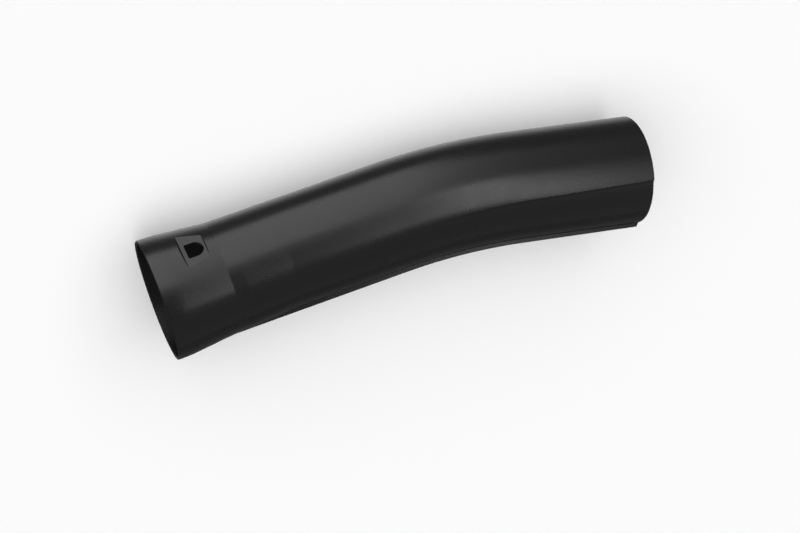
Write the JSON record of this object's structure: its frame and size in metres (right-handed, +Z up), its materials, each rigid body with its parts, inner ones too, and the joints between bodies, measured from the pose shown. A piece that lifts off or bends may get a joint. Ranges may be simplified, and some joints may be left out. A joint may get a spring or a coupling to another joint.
{
  "type": "leaf blower nozzle tube",
  "caption": "Bent round blower tube in black plastic with a flared socket, a latch window in a flat, a raised brow along the sides and a keel rib below.",
  "frame": {"origin": "on the floor under the middle of the tube's box, with the tube lying as it comes to rest", "axes": "+X along the chord of the tube from the socket to the outlet, +Y to the outside of the bend, +Z up"},
  "size_m": [0.383, 0.1014, 0.0901],
  "materials": {
    "black_plastic": "satin moulded black plastic"
  },
  "bodies": {
    "root": {"nozzle_tube": "black_plastic"}
  },
  "joints": []
}
